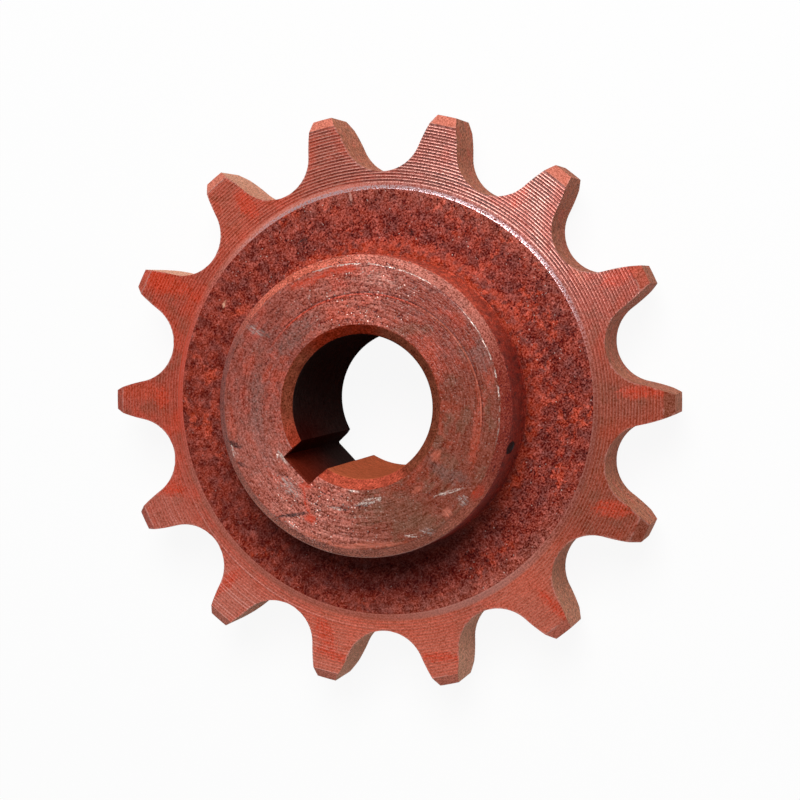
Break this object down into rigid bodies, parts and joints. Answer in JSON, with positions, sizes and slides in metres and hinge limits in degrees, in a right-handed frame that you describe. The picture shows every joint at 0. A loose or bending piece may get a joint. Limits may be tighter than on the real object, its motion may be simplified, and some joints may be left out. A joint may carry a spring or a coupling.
{
  "type": "chain sprocket",
  "caption": "Solid steel roller-chain sprocket with a raised hub on one side, a keyed bore, and bevelled teeth around a turned rim, in worn red-oxide primer.",
  "frame": {"origin": "on the bore's axis, in the plane of the short back boss's end face, on which the part rests", "axes": "+Z along the bore, from the back boss to the hub's nose; +X from the axis through the middle of the keyway"},
  "size_m": [0.124, 0.1244, 0.0387],
  "materials": {
    "primed_steel": "thin red-oxide primer over turned and forged steel, scuffed on its edges"
  },
  "bodies": {
    "root": {"sprocket": "primed_steel"}
  },
  "joints": []
}
